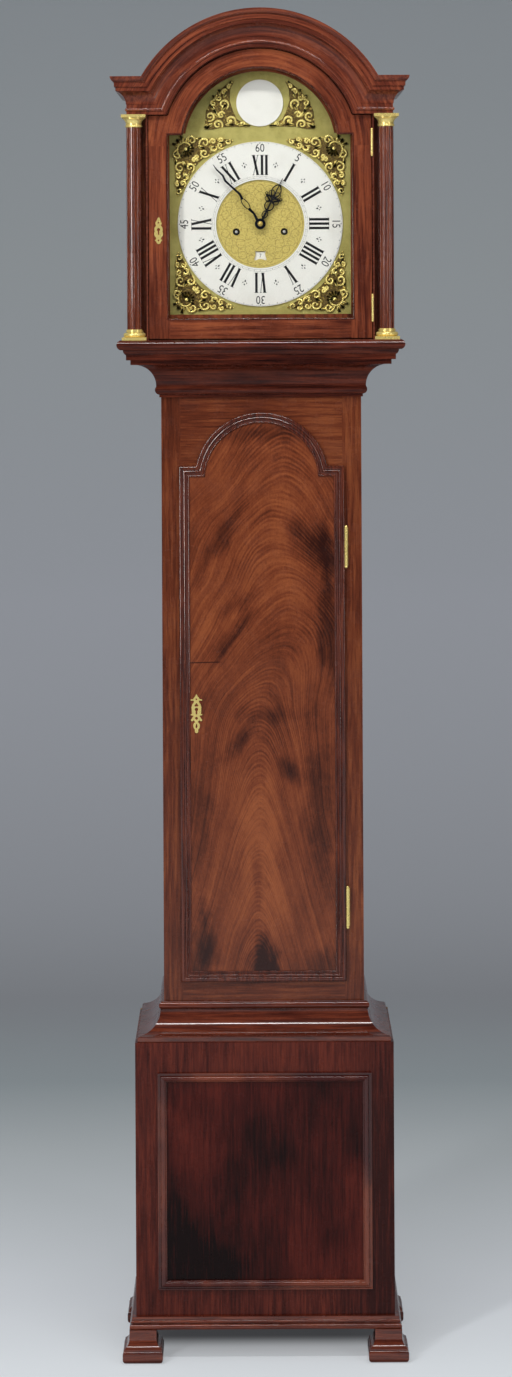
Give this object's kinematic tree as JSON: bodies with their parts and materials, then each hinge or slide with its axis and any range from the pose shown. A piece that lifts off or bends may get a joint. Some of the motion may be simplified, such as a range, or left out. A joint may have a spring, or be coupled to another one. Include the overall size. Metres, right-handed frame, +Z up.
{
  "type": "longcase clock",
  "caption": "Longcase clock: arched sliding hood with fluted columns, arched brass dial, lipped trunk door, panelled base on block feet, weight-driven movement with pendulum.",
  "frame": {"origin": "on the floor, at the centre of the outline of the whole clock", "axes": "+Z up, -Y towards the viewer of the dial, +X to the viewer's right"},
  "size_m": [0.4932, 0.2696, 2.235],
  "materials": {
    "mahogany": "french polished, straight grain",
    "flame_mahogany": "french polished, flame figure",
    "oak": "unpolished secondary timber",
    "brass": "lacquered, softly aged",
    "weight_brass": "polished casing",
    "silvered_brass": "silvered, matt",
    "blued_steel": "blued",
    "steel": "bright",
    "glass": "clear sheet",
    "gut": "twisted gut"
  },
  "bodies": {
    "case": {"feet": "mahogany", "plinth_moulding": "mahogany", "base_carcase": "mahogany", "base_front_frame": "mahogany", "base_panel": "flame_mahogany", "shoulder_moulding": "mahogany", "backboard": "oak", "trunk_sides": "mahogany", "trunk_front_frame": "mahogany", "throat_moulding": "mahogany", "seatboard": "oak", "dial_plate": "brass", "silvered_rings": "silvered_brass", "spandrels": "brass", "pillars_and_feet": "brass", "front_plate": "brass", "back_plate": "brass", "cock_and_bell_stand": "brass", "bell": "brass", "trunk_hinge_leaves": "brass", "going_line": "gut", "strike_line": "gut"},
    "trunk_door": {"trunk_door_board": "flame_mahogany", "trunk_door_moulding": "mahogany", "trunk_door_brasses": "brass"},
    "hood": {"hood_sides": "mahogany", "hood_base_moulding": "mahogany", "hood_front_board": "mahogany", "hood_cornice": "mahogany", "hood_roof": "mahogany", "hood_columns": "mahogany", "column_brasses": "brass", "hood_mask": "mahogany", "hood_hinge_leaves": "brass"},
    "hood_door": {"hood_door_frame": "mahogany", "hood_door_glass": "glass", "hood_door_brasses": "brass"},
    "centre_arbor": {"centre_wheel": "brass"},
    "great_wheel": {"great_wheel": "brass"},
    "going_barrel": {"going_barrel": "brass"},
    "third_wheel": {"third_wheel": "brass"},
    "escape_wheel": {"escape_wheel": "brass"},
    "minute_hand": {"cannon_wheel": "brass", "minute_hand": "blued_steel"},
    "minute_wheel": {"minute_wheel": "brass"},
    "hour_hand": {"hour_wheel": "brass", "hour_hand": "blued_steel"},
    "pallets": {"pallets": "steel"},
    "pendulum": {"pendulum": "brass"},
    "strike_great_wheel": {"strike_great_wheel": "brass"},
    "strike_barrel": {"strike_barrel": "brass"},
    "pin_wheel": {"pin_wheel": "brass"},
    "warning_wheel": {"warning_wheel": "brass"},
    "fly": {"fly": "brass"},
    "hammer": {"hammer": "steel"},
    "going_weight": {"going_weight": "weight_brass"},
    "strike_weight": {"strike_weight": "weight_brass"},
    "going_pulley": {"going_pulley": "brass"},
    "strike_pulley": {"strike_pulley": "brass"},
    "date_ring": {"date_ring": "silvered_brass"}
  },
  "joints": [
    {"name": "hood_slide", "type": "slide", "parent": "case", "child": "hood", "axis": [0, -1, 0], "range_m": [0, 0.3]},
    {"name": "hood_door_hinge", "type": "hinge", "parent": "hood", "child": "hood_door", "pos_m": [0.18525, -0.1043, 1.87], "axis": [0, 0, 1], "range_deg": [0, 100]},
    {"name": "trunk_door_hinge", "type": "hinge", "parent": "case", "child": "trunk_door", "pos_m": [0.1405, -0.061, 1.05], "axis": [0, 0, 1], "range_deg": [0, 110]},
    {"name": "centre_arbor_turn", "type": "hinge", "parent": "case", "child": "centre_arbor", "pos_m": [0, 0, 1.8802], "axis": [0, 1, 0], "continuous": true},
    {"name": "great_wheel_turn", "type": "hinge", "parent": "case", "child": "great_wheel", "pos_m": [0.04, 0, 1.8672], "axis": [0, 1, 0], "continuous": true},
    {"name": "third_wheel_turn", "type": "hinge", "parent": "case", "child": "third_wheel", "pos_m": [0.016, 0, 1.9022], "axis": [0, 1, 0], "continuous": true},
    {"name": "escape_wheel_turn", "type": "hinge", "parent": "case", "child": "escape_wheel", "pos_m": [0, 0, 1.9205], "axis": [0, 1, 0], "continuous": true},
    {"name": "minute_hand_turn", "type": "hinge", "parent": "case", "child": "minute_hand", "pos_m": [0, 0, 1.8802], "axis": [0, 1, 0], "continuous": true},
    {"name": "minute_wheel_turn", "type": "hinge", "parent": "case", "child": "minute_wheel", "pos_m": [0, 0, 1.8502], "axis": [0, 1, 0], "continuous": true},
    {"name": "hour_hand_turn", "type": "hinge", "parent": "case", "child": "hour_hand", "pos_m": [0, 0, 1.8802], "axis": [0, 1, 0], "continuous": true},
    {"name": "going_weight_fall", "type": "slide", "parent": "case", "child": "going_weight", "axis": [0, 0, 1], "range_m": [0, 1.04], "deforming": ["going_line"]},
    {"name": "strike_weight_fall", "type": "slide", "parent": "case", "child": "strike_weight", "axis": [0, 0, 1], "range_m": [0, 1.04], "deforming": ["strike_line"]},
    {"name": "going_barrel_turn", "type": "hinge", "parent": "case", "child": "going_barrel", "pos_m": [0.04, 0, 1.8672], "axis": [0, 1, 0], "range_deg": [0, 5480]},
    {"name": "strike_barrel_turn", "type": "hinge", "parent": "case", "child": "strike_barrel", "pos_m": [-0.04, 0, 1.8672], "axis": [0, 1, 0], "range_deg": [0, 5480]},
    {"name": "going_pulley_turn", "type": "hinge", "parent": "going_weight", "child": "going_pulley", "pos_m": [0.04, 0.00375, 0.69], "axis": [0, 1, 0], "range_deg": [0, 2740]},
    {"name": "strike_pulley_turn", "type": "hinge", "parent": "strike_weight", "child": "strike_pulley", "pos_m": [-0.04, 0.00375, 0.69], "axis": [0, 1, 0], "range_deg": [0, 2740]},
    {"name": "pendulum_swing", "type": "hinge", "parent": "case", "child": "pendulum", "pos_m": [0, 0.06, 1.9488], "axis": [0, 1, 0], "range_deg": [-2.5, 2.5]},
    {"name": "pallets_rock", "type": "hinge", "parent": "case", "child": "pallets", "pos_m": [0, 0.02, 1.9488], "axis": [0, 1, 0], "range_deg": [-2.5, 2.5]},
    {"name": "pin_wheel_turn", "type": "hinge", "parent": "case", "child": "pin_wheel", "pos_m": [-0.03, 0, 1.9026], "axis": [0, 1, 0], "continuous": true},
    {"name": "strike_great_wheel_turn", "type": "hinge", "parent": "case", "child": "strike_great_wheel", "pos_m": [-0.04, 0, 1.8672], "axis": [0, 1, 0], "continuous": true},
    {"name": "warning_wheel_turn", "type": "hinge", "parent": "case", "child": "warning_wheel", "pos_m": [-0.047, 0, 1.9212], "axis": [0, 1, 0], "continuous": true},
    {"name": "fly_turn", "type": "hinge", "parent": "case", "child": "fly", "pos_m": [-0.03, 0, 1.931], "axis": [0, 1, 0], "continuous": true},
    {"name": "hammer_swing", "type": "hinge", "parent": "case", "child": "hammer", "pos_m": [-0.06, 0, 1.9002], "axis": [0, -1, 0], "range_deg": [0, 10]},
    {"name": "date_ring_turn", "type": "hinge", "parent": "case", "child": "date_ring", "pos_m": [0, 0, 1.8802], "axis": [0, 1, 0], "continuous": true}
  ],
  "couplings": [
    {"joint": "great_wheel_turn", "follows": "minute_hand_turn", "ratio": -0.083333},
    {"joint": "third_wheel_turn", "follows": "minute_hand_turn", "ratio": -7.5},
    {"joint": "escape_wheel_turn", "follows": "minute_hand_turn", "ratio": 60},
    {"joint": "centre_arbor_turn", "follows": "minute_hand_turn", "ratio": 1},
    {"joint": "minute_wheel_turn", "follows": "minute_hand_turn", "ratio": -1},
    {"joint": "hour_hand_turn", "follows": "minute_hand_turn", "ratio": 0.083333},
    {"joint": "going_barrel_turn", "follows": "going_weight_fall", "rad_per_m": 91.743},
    {"joint": "going_pulley_turn", "follows": "going_weight_fall", "rad_per_m": 45.872},
    {"joint": "strike_barrel_turn", "follows": "strike_weight_fall", "rad_per_m": 91.743},
    {"joint": "strike_pulley_turn", "follows": "strike_weight_fall", "rad_per_m": 45.872},
    {"joint": "pallets_rock", "follows": "pendulum_swing", "ratio": 1},
    {"joint": "strike_great_wheel_turn", "follows": "pin_wheel_turn", "ratio": -0.095238},
    {"joint": "warning_wheel_turn", "follows": "pin_wheel_turn", "ratio": -8},
    {"joint": "fly_turn", "follows": "pin_wheel_turn", "ratio": 56}
  ]
}
